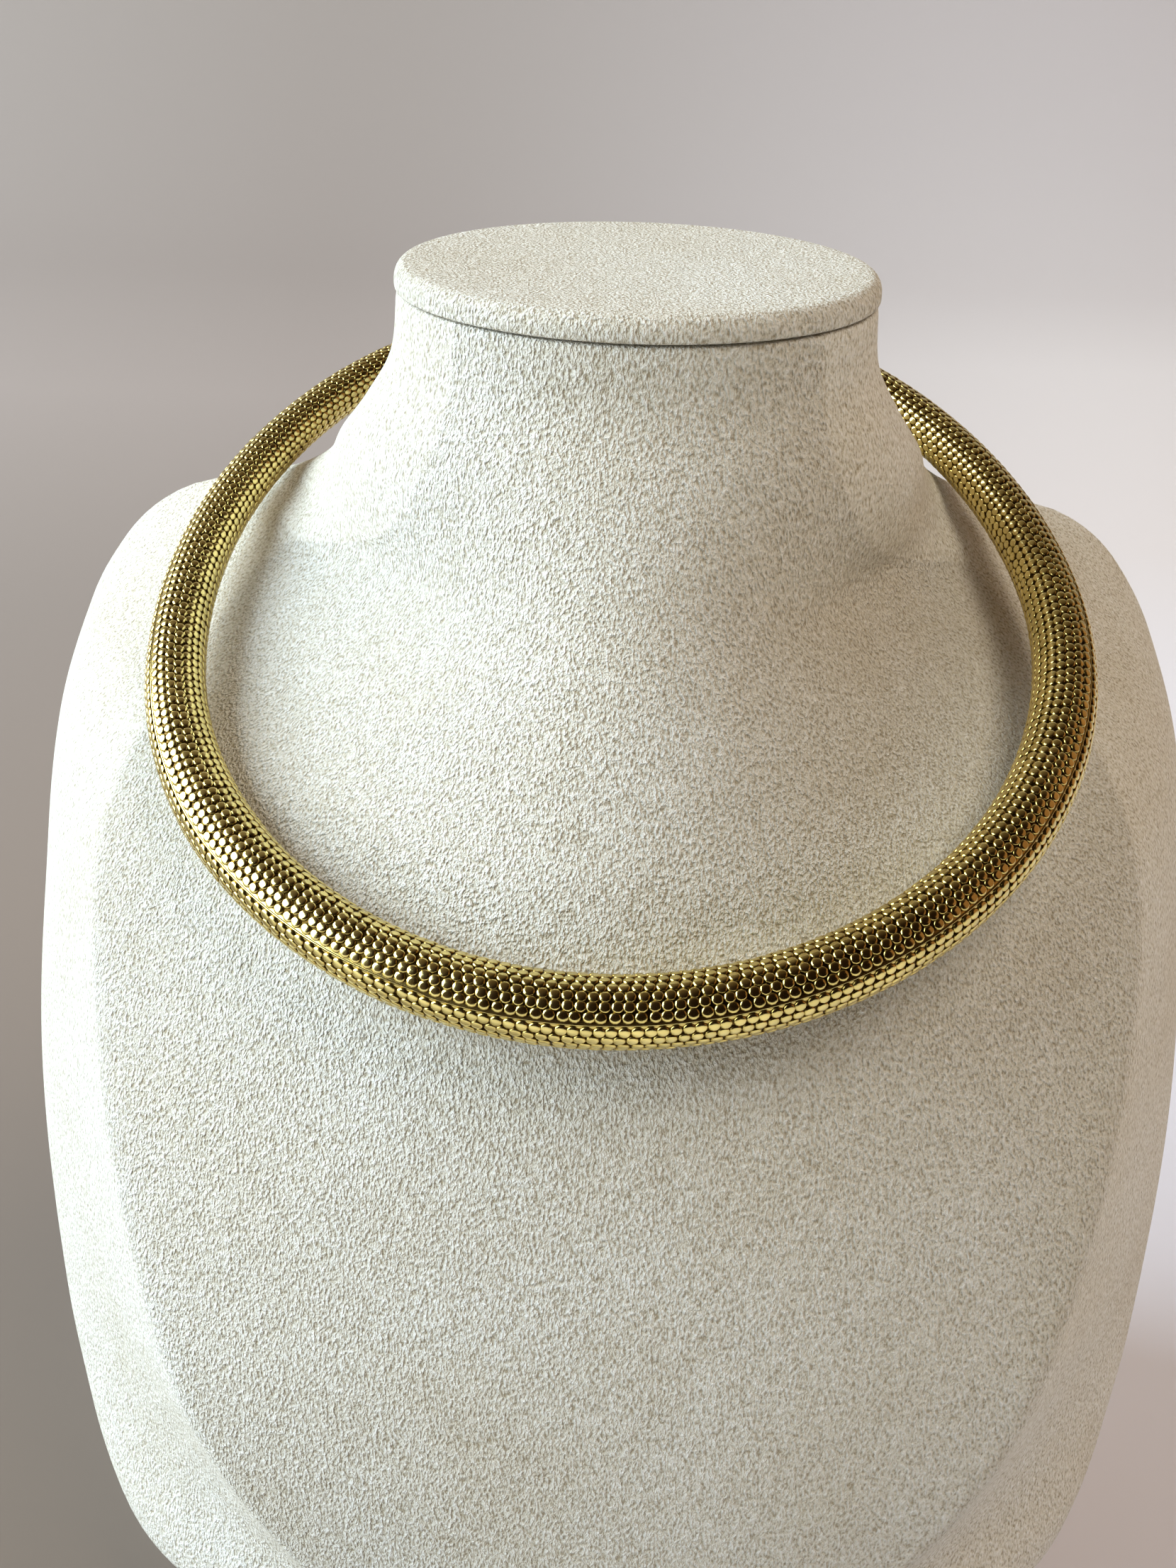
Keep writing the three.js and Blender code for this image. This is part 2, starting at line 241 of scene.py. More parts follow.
profile = sweep_profile()
floor_mesh = bpy.data.meshes.new("floor_sweep")
floor_mesh.from_pydata(
    [(x, y, z) for y, z in profile for x in (-SWEEP_HALF_WIDTH, SWEEP_HALF_WIDTH)], [],
    [(2 * i, 2 * i + 1, 2 * i + 3, 2 * i + 2) for i in range(len(profile) - 1)])
floor_mesh.polygons.foreach_set("use_smooth", [True] * len(floor_mesh.polygons))
floor_mesh.materials.append(backdrop_paper)
floor_sweep = bpy.data.objects.new("floor_sweep", floor_mesh)
bpy.context.scene.collection.objects.link(floor_sweep)
print("the sweep has", len(profile), "lines of points")

# %% Lights
def soft_box(name, place, aim, width, height, watts, colour):
    """An area light that the camera doesn't see. Its places and sizes are in metres."""
    data = bpy.data.lights.new(name, "AREA")
    data.shape, data.size, data.size_y = "RECTANGLE", width, height
    data.energy, data.color = watts, linear(colour)[:3]
    lamp = bpy.data.objects.new(name, data)
    lamp.location = place
    lamp.rotation_euler = (Vector(aim) - Vector(place)).to_track_quat("-Z", "Y").to_euler()
    lamp.visible_camera = False
    bpy.context.scene.collection.objects.link(lamp)
    return lamp


soft_box("window", (-2.0, -0.15, 1.2), (0, 0, 0.4), 2.3, 2.2, 126, "#e2f4ff")
soft_box("warm_wall", (2.0, 0.1, 0.8), (0, 0, 0.14), 2.4, 2.0, 4.4, "#ffc08c")
# These two work alone: one lights only the cloth, and one is only seen mirrored in the metal
high_right = soft_box("high_right", (0.7, -0.4, 1.75), (0, 0, 0.1), 1.0, 1.0, 17, "#fff1dc")
high_right.visible_glossy = False
bright_pane = soft_box("bright_pane", (-1.9, 0.5, 0.95), (0, 0, 0.15), 0.9, 1.5, 34, "#f6fcff")
bright_pane.visible_diffuse = False

# Which way the room is dimmest, seen from the bust: to the front right and a little up
DIM_END = Vector((0.5, -0.75, 0.35)).normalized()
sky = bpy.data.worlds.new("studio with a dim end")
sky.use_nodes = True
tree = sky.node_tree
tree.nodes.clear()
looking = add(tree, "ShaderNodeTexCoord")
towards = add(tree, "ShaderNodeVectorMath", {0: looking.outputs["Generated"], 1: DIM_END},
              operation="DOT_PRODUCT")
nearness = add(tree, "ShaderNodeMapRange", {"Value": towards.outputs["Value"], "From Min": -1.0})
walls = add(tree, "ShaderNodeValToRGB", {0: nearness.outputs[0]},
            stops=[(0.4, "#857968"), (0.6, "#574836"), (0.8, "#2a1c12"), (1.0, "#1b110a")])
glow = add(tree, "ShaderNodeBackground", {0: walls.outputs[0], 1: 1.0})
add(tree, "ShaderNodeOutputWorld", {0: glow.outputs[0]})
bpy.context.scene.world = sky
bpy.context.scene.view_settings.view_transform = "Standard"

# %% [markdown]
# ## Brushed microsuede
# The bust is covered in microsuede: polyester fibres needled into a cloth, glued over the form and
# brushed. The eye reads it by its nap, small clumps of fibre about a third of a millimetre wide and
# twice as long that lie nearly upright, and by the soft light its fibre tips catch at grazing
# angles. The clumps come from noise stretched along Z, used both as a bump and as painted shade
# that darkens the pits between them. A wider noise under them is the low swells that the brush
# leaves, and the fibre tips are the shader's sheen.

# %% Suede material
CLUMP_WIDTH_MM = 0.33
CLUMP_LENGTH_MM = 0.6
CLUMP_DEPTH_MM = 0.48
SWELL_WIDTH_MM = 7.0
SWELL_DEPTH_MM = 0.6
PATCH_WIDTH_MM = 26
NAP_LEAN_DEG = 7
# One wave of Blender's noise is a little wider than the clump that it draws
NOISE_PER_CLUMP = 1.25

microsuede, tree, surface = new_material("brushed cream microsuede")
where = add(tree, "ShaderNodeTexCoord")
lean = add(tree, "ShaderNodeMapping", {
    "Vector": where.outputs["Object"], "Rotation": (0, math.radians(NAP_LEAN_DEG), 0),
    "Scale": (1, 1, CLUMP_WIDTH_MM / CLUMP_LENGTH_MM)})
clumps = add(tree, "ShaderNodeTexNoise", {
    "Vector": lean.outputs[0], "Scale": 1 / mm(NOISE_PER_CLUMP * CLUMP_WIDTH_MM), "Detail": 2.0,
    "Roughness": 0.5})
patches = add(tree, "ShaderNodeTexNoise", {
    "Vector": where.outputs["Object"], "Scale": 1 / mm(PATCH_WIDTH_MM), "Detail": 2.0,
    "Roughness": 0.5})
sharp = add(tree, "ShaderNodeMapRange", {
    "Value": clumps.outputs[0], "From Min": 0.28, "From Max": 0.72})
# Painted shade: the pits between the clumps are painted a darker cream than the clump tops
pit_painted_shade = add(tree, "ShaderNodeValToRGB", {0: sharp.outputs[0]},
            stops=[(0.0, "#ab9f88"), (0.4, "#dfdacd"), (1.0, "#faf9f6")])
# Wide patches of the cloth, a few percent darker
patch_tone = add(tree, "ShaderNodeValToRGB", {0: patches.outputs[0]},
             stops=[(0.3, "#f8f5f0"), (0.7, "#ffffff")])
colour = add(tree, "ShaderNodeMix", {0: 1.0, 6: pit_painted_shade.outputs[0], 7: patch_tone.outputs[0]},
             data_type="RGBA", blend_type="MULTIPLY")
# The nap is flatter on the bust's sides and back than on its front face
front = add(tree, "ShaderNodeAttribute", attribute_name="front")
depth = add(tree, "ShaderNodeMapRange", {
    "Value": front.outputs["Fac"], "To Min": 0.55, "To Max": 1.0})
relief = add(tree, "ShaderNodeMath", {0: sharp.outputs[0], 1: depth.outputs[0]},
             operation="MULTIPLY")
# The brush leaves low swells a few millimetres wide under the clumps
swells = add(tree, "ShaderNodeTexNoise", {
    "Vector": where.outputs["Object"], "Scale": 1 / mm(SWELL_WIDTH_MM), "Detail": 2.0})
height = add(tree, "ShaderNodeMath", {
    0: swells.outputs[0], 1: SWELL_DEPTH_MM / CLUMP_DEPTH_MM, 2: relief.outputs[0]},
    operation="MULTIPLY_ADD")
nap = add(tree, "ShaderNodeBump", {
    "Height": height.outputs[0], "Strength": 1.0, "Distance": mm(CLUMP_DEPTH_MM)})
tree.links.new(colour.outputs[2], surface.inputs["Base Color"])
tree.links.new(nap.outputs[0], surface.inputs["Normal"])
surface.inputs["Roughness"].default_value = 0.95
surface.inputs["Specular IOR Level"].default_value = 0.15
surface.inputs["Sheen Weight"].default_value = 0.15
surface.inputs["Sheen Roughness"].default_value = 0.6
surface.inputs["Sheen Tint"].default_value = linear("#fbf8f0")
print("nap clumps are about", CLUMP_WIDTH_MM, "mm across")

# %% [markdown]
# ## The bust
# The real form is moulded: a neck that flows into sloping shoulders, a chest face, and a crease
# where that face turns into the side. It could be sculpted, but its shape is a rule, level sections
# stacked from the neck to the base, so it is lofted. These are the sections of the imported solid,
# as shares of its main sizes, run through with a smooth curve at a much finer step. Each ring is
# smoothed twice so that the crease has the small round of cloth pulled over an edge.

# %% Sections of the bust
BUST_HEIGHT, CAP_THICKNESS, FIT_GAP = 228.0, 3.6, 0.3
SHOULDER_HALF_WIDTH, CHEST_DEPTH, BACK_DEPTH = 105.0, 90.0, 42.0
NECK_HALF_WIDTH, NECK_HALF_DEPTH = 34.5, 30.5
ARC_HANDLE = 0.345
SMOOTHING_PASSES = 2
SECTION_COLUMNS = ("drop", "spread", "chest", "back", "edge_x", "edge_y", "widest_y",
                   "face_deg", "side_deg", "end_deg", "corner")
BUST_SECTIONS = np.array([
    [0.000, 0.000, 0.000, 0.00, 0.707, 0.708, 0.00, 41, 41, 90, 0.55],
    [0.041, 0.016, 0.018, 0.09, 0.702, 0.696, 0.00, 42, 42, 90, 0.55],
    [0.076, 0.078, 0.079, 0.30, 0.685, 0.665, 0.09, 44, 44, 90, 0.57],
    [0.112, 0.153, 0.153, 0.65, 0.684, 0.543, 0.32, 47, 47, 90, 0.62],
    [0.148, 0.213, 0.227, 0.91, 0.727, 0.318, 0.59, 52, 52, 85, 0.70],
    [0.168, 0.284, 0.276, 1.00, 0.752, 0.107, 0.71, 54, 54, 75, 0.78],
    [0.181, 0.362, 0.309, 1.00, 0.767, -0.041, 0.81, 55, 55, 62, 0.84],
    [0.191, 0.475, 0.331, 1.00, 0.743, -0.139, 0.88, 55, 55, 48, 0.86],
    [0.198, 0.567, 0.348, 1.00, 0.725, -0.225, 0.92, 55, 54, 42, 0.88],
    [0.210, 0.652, 0.378, 1.00, 0.720, -0.217, 0.93, 54, 52, 48, 0.88],
    [0.230, 0.735, 0.424, 1.00, 0.724, -0.090, 0.93, 52, 50, 60, 0.88],
    [0.257, 0.804, 0.482, 1.00, 0.729, 0.118, 0.90, 46, 53, 75, 0.88],
    [0.286, 0.855, 0.543, 1.00, 0.770, 0.295, 0.86, 41, 58, 85, 0.88],
    [0.344, 0.909, 0.640, 1.00, 0.786, 0.481, 0.79, 38, 62, 90, 0.88],
    [0.460, 0.963, 0.782, 1.00, 0.729, 0.688, 0.67, 33, 62, 90, 0.86],
    [0.581, 1.000, 0.894, 1.00, 0.645, 0.816, 0.48, 25, 58, 90, 0.86],
    [0.679, 0.972, 0.953, 1.00, 0.575, 0.883, 0.14, 19, 53, 90, 0.86],
    [0.768, 0.894, 0.988, 1.00, 0.459, 0.924, -0.33, 15, 44, 90, 0.86],
    [0.826, 0.809, 1.000, 1.00, 0.306, 0.961, -0.67, 12, 32, 90, 0.86],
    [0.857, 0.759, 0.992, 1.00, 0.205, 0.978, -0.81, 9, 20, 90, 0.86],
    [0.893, 0.702, 0.933, 1.00, 0.214, 0.983, -0.90, 9, 12, 90, 0.86],
    [1.000, 0.518, 0.714, 1.00, 0.254, 0.979, -0.81, 9, 12, 90, 0.86],
])
print("the bust has", len(BUST_SECTIONS), "sections")


# %% A smooth run through the sections
def section_at(drop):
    """The section at any drop, on a smooth curve through the rows of the table."""
    rows, last = BUST_SECTIONS, len(BUST_SECTIONS) - 1
    row = min(int(np.searchsorted(rows[:, 0], drop, side="left")) - 1, last - 1)
    row = max(row, 0)
    span = rows[row + 1, 0] - rows[row, 0]
    t = (drop - rows[row, 0]) / span

    def slope(index):
        low, high = max(index - 1, 0), min(index + 1, last)
        return (rows[high] - rows[low]) / (rows[high, 0] - rows[low, 0])

    values = (rows[row] * (1 + 2 * t) * (1 - t) ** 2 + rows[row + 1] * t * t * (3 - 2 * t)
              + slope(row) * span * t * (1 - t) ** 2 - slope(row + 1) * span * t * t * (1 - t))
    section = dict(zip(SECTION_COLUMNS, values))
    section["drop"] = drop
    return section


def bezier(points, steps):
    """Points of a cubic curve, without its last one."""
    t = (np.arange(steps) / steps)[:, None]
    a, b, c, d = (np.asarray(point, float) for point in points)
    return a * (1 - t) ** 3 + 3 * b * t * (1 - t) ** 2 + 3 * c * t * t * (1 - t) + d * t ** 3


def arc(start, end, leave_deg, arrive_deg, steps):
    """A curve from start to end that leaves and arrives at these angles, without its end."""
    handle = ARC_HANDLE * math.dist(start, end)
    leave, arrive = math.radians(leave_deg), math.radians(arrive_deg)
    first = (start[0] + handle * math.cos(leave), start[1] + handle * math.sin(leave))
    second = (end[0] - handle * math.cos(arrive), end[1] - handle * math.sin(arrive))
    return bezier([start, first, second, end], steps)


def bust_ring(drop, face_steps=44, side_steps=30, back_steps=18):
    """A level section as points round the bust, and which of them are on its front face."""
    s = section_at(drop)
    half_width = NECK_HALF_WIDTH + s["spread"] * (SHOULDER_HALF_WIDTH - NECK_HALF_WIDTH)
    chest = NECK_HALF_DEPTH + s["chest"] * (CHEST_DEPTH - NECK_HALF_DEPTH)
    back = NECK_HALF_DEPTH + s["back"] * (BACK_DEPTH - NECK_HALF_DEPTH)
    edge = (s["edge_x"] * half_width, -s["edge_y"] * chest)
    widest = (half_width, s["widest_y"] * back)
    corner = [widest, (half_width, widest[1] + s["corner"] * (back - widest[1])),
              (s["corner"] * half_width, back), (0, back)]
    half = np.vstack([
        arc((0, -chest), edge, 0, s["face_deg"], face_steps),
        arc(edge, widest, s["side_deg"], s["end_deg"], side_steps),
        bezier(corner, back_steps), [(0, back)]])
    other = half[1:-1][::-1] * (-1, 1)
    ring = np.vstack([half, other])
    for _ in range(SMOOTHING_PASSES):
        ring = 0.5 * ring + 0.25 * np.roll(ring, 1, 0) + 0.25 * np.roll(ring, -1, 0)
    on_front = np.zeros(len(half))
    on_front[:face_steps + 1] = 1
    return ring, np.concatenate([on_front, on_front[1:-1][::-1]])


front_y = (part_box("neck_cap")[0].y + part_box("neck_cap")[1].y) / 2 * MM_PER_METRE
form_height = BUST_HEIGHT - CAP_THICKNESS - FIT_GAP
print("the neck's axis is at y =", round(front_y, 2), "mm")

# %% Loft the bust
BUST_LEVELS = 165
# As cloth goes over an edge, the base is rounded by 1 mm and the neck's top by 0.5 mm: how far in
# each ring lies, with its height above the base, or how far it is below the top
BASE_ROUND = [(1.0, 0.0), (0.45, 0.1), (0.1, 0.45)]
NECK_ROUND = [(0.0, 0.5), (0.06, 0.26), (0.24, 0.06), (0.5, 0.0)]

rings, fronts = [], []
for drop in np.linspace(1, 0, BUST_LEVELS):
    outline, on_front = bust_ring(drop)
    height = (1 - drop) * form_height
    rounding = [(0.0, height)]
    if drop == 1.0:
        rounding = BASE_ROUND
    elif drop == 0.0:
        rounding = [(inset, height - below) for inset, below in NECK_ROUND]
    for inset, z in rounding:
        size = 1 - inset / np.linalg.norm(outline, axis=1, keepdims=True)
        level = outline * size + (0, front_y)
        rings.append(np.column_stack([level, np.full(len(level), z)]))
        fronts.append(on_front)
bust_cover = mesh_from_rings("bust_cover", rings, microsuede, attributes={"front": fronts})
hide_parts("bust_form")
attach(bust_cover, "root")

# %% [markdown]
# ## The cap
# A thin oval board wrapped in the same suede sits on the neck. Its rim is well rounded above and
# nearly square below, where a dark seam parts it from the neck. Its section is turned round the
# neck's axis and pressed to the neck's oval.

# %% Cap
CAP_OVERHANG = 0.3
# How far in and how far up or down each edge is rounded
CAP_IN_ABOVE, CAP_DOWN_ABOVE = 1.75, 2.4
CAP_IN_BELOW, CAP_UP_BELOW = 0.5, 0.5
CAP_SIDES, CAP_ROUND_STEPS = 128, 9
CAP_NAP = 0.7

angles = np.linspace(0, 2 * math.pi, CAP_SIDES, endpoint=False)
# From the middle of the underside to the middle of the top: how far in from the rim, and how high
flat = [(24.0, 0.0), (10.0, 0.0), (4.0, 0.0)]
quarter = np.linspace(0, math.pi / 2, CAP_ROUND_STEPS)
under = [(CAP_IN_BELOW * (1 - math.sin(a)), CAP_UP_BELOW * (1 - math.cos(a))) for a in quarter]
over = [(CAP_IN_ABOVE * (1 - math.cos(a)), CAP_THICKNESS - CAP_DOWN_ABOVE * (1 - math.sin(a)))
        for a in quarter]
top = [(inset, CAP_THICKNESS) for inset, _ in reversed(flat)]
cap_rings = [[((NECK_HALF_WIDTH + CAP_OVERHANG - inset) * math.cos(a),
               (NECK_HALF_DEPTH + CAP_OVERHANG - inset) * math.sin(a) + front_y,
               BUST_HEIGHT - CAP_THICKNESS + rise_up) for a in angles]
             for inset, rise_up in flat + under + over + top]
cap_cover = mesh_from_rings("cap_cover", cap_rings, microsuede,
                            attributes={"front": np.full((len(cap_rings), CAP_SIDES), CAP_NAP)})
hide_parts("neck_cap")
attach(cap_cover, "root")

# %% [markdown]
# ## Gold plate over brass
# The collar is brass tube pressed with dots and then gold plated and polished. Polish reaches the
# tops of the dots and the seam's ridge, so the creases between them are rougher, and their colour
# is painted dark brown as painted shade, where the neighbouring dots shade them. So one attribute,
# rise, runs from 0 in the creases to 1 on the tops, and it drives the colour and the roughness. A
# second one, tone, is a little different on each dot.

# %% Gold material
FILM_WIDTH_MM = 9
# The tone of a piece that isn't a dot, in the middle of the dots' own tones
EVEN_TONE = 0.5

gold_plate, tree, surface = new_material("polished gold plate over brass")
rise = add(tree, "ShaderNodeAttribute", attribute_name="rise")
tone = add(tree, "ShaderNodeAttribute", attribute_name="tone")
where = add(tree, "ShaderNodeTexCoord")
film = add(tree, "ShaderNodeTexNoise", {
    "Vector": where.outputs["Object"], "Scale": 1 / mm(FILM_WIDTH_MM), "Detail": 3.0,
    "Roughness": 0.6})
# Painted shade: the colour darkens from the gold of the tops to dark brown in the creases
polish_and_painted_shade = add(tree, "ShaderNodeValToRGB", {0: rise.outputs["Fac"]},
             stops=[(0.0, "#33210c"), (0.35, "#8f7233"), (0.7, "#dfc779"), (1.0, "#efdc92")])
dots_differ = add(tree, "ShaderNodeMapRange", {
    "Value": tone.outputs["Fac"], "To Min": 0.9, "To Max": 1.06})
film_shade = add(tree, "ShaderNodeMapRange", {
    "Value": film.outputs[0], "From Min": 0.3, "From Max": 0.7, "To Min": 0.86, "To Max": 1.03})
both = add(tree, "ShaderNodeMath", {0: dots_differ.outputs[0], 1: film_shade.outputs[0]},
           operation="MULTIPLY")
gold_colour = add(tree, "ShaderNodeVectorMath", {0: polish_and_painted_shade.outputs[0], "Scale": both.outputs[0]},
                  operation="SCALE")
roughness = add(tree, "ShaderNodeMapRange", {
    "Value": rise.outputs["Fac"], "To Min": 0.3, "To Max": 0.1})
uneven = add(tree, "ShaderNodeMath", {
    0: film.outputs[0], 1: 0.1, 2: roughness.outputs[0]}, operation="MULTIPLY_ADD")
tree.links.new(gold_colour.outputs[0], surface.inputs["Base Color"])
tree.links.new(uneven.outputs[0], surface.inputs["Roughness"])
surface.inputs["Metallic"].default_value = 1.0
print("gold material nodes:", len(tree.nodes))

# %% [markdown]
# ## The collar's path
# The loop is two half ovals in one plane, laid on the shoulders: it drops to the front, leans a
# little to one side and is turned a little round the neck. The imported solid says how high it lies.
# A table of lengths along the loop tells where each millimetre of it is, so anything can be placed
# by how far along the tube it lies, with the tube's direction and thickness there.

# %% The loop as a path
LOOP_HALF_WIDTH, LOOP_FRONT_REACH, LOOP_BACK_REACH = 67.0, 68.9, 78.6
TUBE_RADIUS, TUBE_WALL, TUBE_END_SHARE, TAPER_START_DEG = 4.75, 0.6, 0.62, 64.0
CLASP_BARREL, CLASP_SPIGOT = 13.0, 5.0
COLLAR_DROP_DEG, COLLAR_LEAN_DEG, COLLAR_TURN_DEG = 21.5, -2.2, 8.0
COLLAR_SIDE_SHIFT, COLLAR_BACK_SHIFT = -1.2, -9.1
LOOP_SAMPLES = 14401
# How far ahead and behind a point of the loop is looked at for its direction
LOOK_MM = 0.2

lie = np.array(Matrix.Rotation(math.radians(COLLAR_DROP_DEG), 3, "X")
               @ Matrix.Rotation(math.radians(COLLAR_LEAN_DEG), 3, "Y")
               @ Matrix.Rotation(math.radians(COLLAR_TURN_DEG), 3, "Z"))
loop_up = lie @ (0, 0, 1)


def tube_radius(angle):
    """The tube's radius at angles round the loop from its front."""
    start = math.radians(TAPER_START_DEG)
    share = np.clip((np.abs(angle) - start) / (math.pi - start), 0, 1)
    return TUBE_RADIUS * (1 - (1 - TUBE_END_SHARE) * share)


def flat_loop(angle):
    """Points of the loop at those angles, before it is laid on the shoulders."""
    reach = np.where(np.cos(angle) > 0, LOOP_FRONT_REACH, LOOP_BACK_REACH)
    return np.column_stack([LOOP_HALF_WIDTH * np.sin(angle), -reach * np.cos(angle),
                            np.zeros_like(angle)])


fine_angle = np.linspace(-math.pi, math.pi, LOOP_SAMPLES)
strides = np.linalg.norm(np.diff(flat_loop(fine_angle), axis=0), axis=1)
fine_length = np.concatenate([[0], np.cumsum(strides)])
loop_length = fine_length[-1]
# The height of the loop's centre is the one that puts the tube's top where the solid has it
tube_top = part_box("collar_tube")[1].z * MM_PER_METRE
centre = np.array([COLLAR_SIDE_SHIFT, COLLAR_BACK_SHIFT + front_y, 0])
in_tube = (fine_length > CLASP_BARREL / 2) & (fine_length < loop_length - CLASP_BARREL / 2)
above_middle = tube_radius(fine_angle) * math.hypot(loop_up[2], loop_up[0])
tops = (flat_loop(fine_angle) @ lie.T)[:, 2] + above_middle
centre[2] = tube_top - tops[in_tube].max()


def path_at(length):
    """Place, direction, outward direction, radius and angle at distances along the loop."""
    angle = np.interp(np.mod(length, loop_length), fine_length, fine_angle)
    ahead = np.interp(np.mod(length + LOOK_MM, loop_length), fine_length, fine_angle)
    behind = np.interp(np.mod(length - LOOK_MM, loop_length), fine_length, fine_angle)
    along = (flat_loop(ahead) - flat_loop(behind)) @ lie.T
    along /= np.linalg.norm(along, axis=1, keepdims=True)
    outward = np.cross(along, loop_up)
    return flat_loop(angle) @ lie.T + centre, along, outward, tube_radius(angle), angle


print("loop length", round(loop_length, 1), "mm, centre", centre.round(2))

# %% [markdown]
# ## The tube's skin
# Between the dots lies the tube's own skin, and along the front runs the one seam of the tube: a
# smooth land with a thin raised line. The skin is swept along the path as rings whose points crowd
# together at the seam, so the thin line is real relief. The seam wanders a little, as the twist of
# a drawn tube does, and the rows of dots wander with it.

# %% Seam and skin
DOT_HEIGHT = 0.36
SKIN_DROP = 0.23
PLAIN_END = 2.2
SKIN_RINGS = 330
SEAM_LAND_DEG = 24.5
# Degrees round the loop, and where the seam is there in degrees round the tube
SEAM_WANDER = np.array([
    (-180, 42), (-84, 45), (-62, 37), (-42, 37), (-28.5, 38), (-27, 35), (-8, 36.5), (8, 38),
    (25, 39), (42, 41), (52, 43), (84, 45), (180, 42)], float)
# The seam's middle and one side of it: degrees from the seam, how far raised in mm, and the rise
# that its polish and its painted shade go by
SEAM_MIDDLE = (0, 0.24, 1)
SEAM_SIDE = [(0.9, 0.21, 0.95), (1.8, 0.1, 0.7), (2.6, 0.07, 0.75), (4.5, 0.06, 0.75),
             (6.5, 0.04, 0.4), (8, 0, 0.1)]
# A low rise paints the bare skin between the dots, and the tube's inside, darker as painted shade
BARE_SKIN_RISE, INSIDE_RISE, PLAIN_END_RISE = 0.08, 0.3, 0.85


def seam_angle(angle):
    """Where the seam is round the tube, in radians from the outward direction towards the top."""
    return np.radians(np.interp(np.degrees(angle), SEAM_WANDER[:, 0], SEAM_WANDER[:, 1]))


other_side = [(-turn_deg, up, polish_and_painted_shade) for turn_deg, up, polish_and_painted_shade in reversed(SEAM_SIDE)]
between = [(turn_deg, 0, BARE_SKIN_RISE) for turn_deg in np.linspace(14, 346, 50)]
around = other_side + [SEAM_MIDDLE] + SEAM_SIDE + between
turns, raised, risen = (np.array(column, float) for column in zip(*around))
start = CLASP_BARREL / 2 + FIT_GAP
lengths = np.linspace(start, loop_length - start, SKIN_RINGS)
place_at, along, outward, radius, loop_angle = path_at(lengths)
turn_angle = seam_angle(loop_angle)[:, None] + np.radians(turns)[None, :]


def tube_rings(radii):
    """Rings of points round the path, turning right-handed along it."""
    spoke = (outward[:, None, :] * np.cos(turn_angle)[:, :, None]
             + loop_up[None, None, :] * np.sin(turn_angle)[:, :, None])
    return (place_at[:, None, :] + spoke * radii[:, :, None])[:, ::-1]


size_here = (radius / TUBE_RADIUS)[:, None]
outer = tube_rings(radius[:, None] - SKIN_DROP * size_here + raised[None, :] * size_here)
inner = tube_rings(np.repeat((radius - TUBE_WALL)[:, None], len(turns), 1))
rise_outer = np.repeat(risen[None, ::-1], len(lengths), 0)
# The rows of dots stop a little before the tube's two ends, which are plain and polished
to_end = np.minimum(lengths - lengths[0], lengths[-1] - lengths)
rise_outer[to_end < PLAIN_END] = PLAIN_END_RISE
skin = mesh_from_rings(
    "collar_skin", np.concatenate([outer, inner[::-1]]), gold_plate, closes_on_itself=True,
    attributes={"rise": np.concatenate([rise_outer, np.full_like(rise_outer, INSIDE_RISE)]),
                "tone": np.full((2 * len(lengths), len(turns)), EVEN_TONE)})
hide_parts("collar_tube")
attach(skin, "root")

# %% [markdown]
# ## The dots
# Over five thousand pressed dots run along the tube in twenty-one rows, a row every seventeen
# degrees with the seam's land between the last and the first. Neighbouring rows have slightly
# different spacings, so they drift from staggered to side by side and back. That is a job for
# Geometry Nodes: one small dot is placed by a rule at thousands of points. The tree numbers its
# points, finds each one's row and place in the row, reads the path there, and stands a dot on the
# skin.

# %% One dot
ROWS = 21
DOT_SPACING = 1.56
DOT_LENGTH, DOT_WIDTH = 1.66, 1.64
# How much the rows' spacings differ, and how far a dot slips along its row, as shares of one dot
ROW_DIFFERS, PRESS_ERROR = 0.03, 0.06
LOOP_BEND_RADIUS = 67.0
DOTS_SEED = 11
# Share of the dot's radius and of its height, from the foot to the flat of the top
DOT_PROFILE = [(1.0, -0.3), (0.965, 0.35), (0.87, 0.69), (0.7, 0.89), (0.42, 0.978)]
# How far the tube's own roundness lowers the dot's two edges, as a share of its height
DOT_SAG = 0.16
DOT_SIDES = 10


def make_dot():
    """A flat-topped dome with a radius and a height of 1, standing on the XY plane."""
    turn_steps = np.arange(DOT_SIDES) / DOT_SIDES * 2 * math.pi
    points = [(share * math.cos(a), share * math.sin(a),
               height - DOT_SAG * (share * math.sin(a)) ** 2)
              for share, height in DOT_PROFILE for a in turn_steps] + [(0, 0, 1)]
    faces = []
    for band in range(len(DOT_PROFILE) - 1):
        for side in range(DOT_SIDES):
            here, across = band * DOT_SIDES + side, band * DOT_SIDES + (side + 1) % DOT_SIDES
            faces.append((here, across, across + DOT_SIDES, here + DOT_SIDES))
    last = (len(DOT_PROFILE) - 1) * DOT_SIDES
    faces += [(last + side, last + (side + 1) % DOT_SIDES, len(points) - 1)
              for side in range(DOT_SIDES)]
    faces.append(tuple(range(DOT_SIDES))[::-1])
    mesh = bpy.data.meshes.new("dot")
    mesh.from_pydata(points, [], faces)
    mesh.polygons.foreach_set("use_smooth", [True] * len(mesh.polygons))
    heights = [min(max(height, 0), 1) for _, height in DOT_PROFILE for _ in turn_steps] + [1]
    mesh.attributes.new("rise", "FLOAT", "POINT").data.foreach_set("value", heights)
    dot = bpy.data.objects.new("dot", mesh)
    bpy.context.scene.collection.objects.link(dot)
    print("one dot has", len(faces), "faces")
    return dot


dot = make_dot()

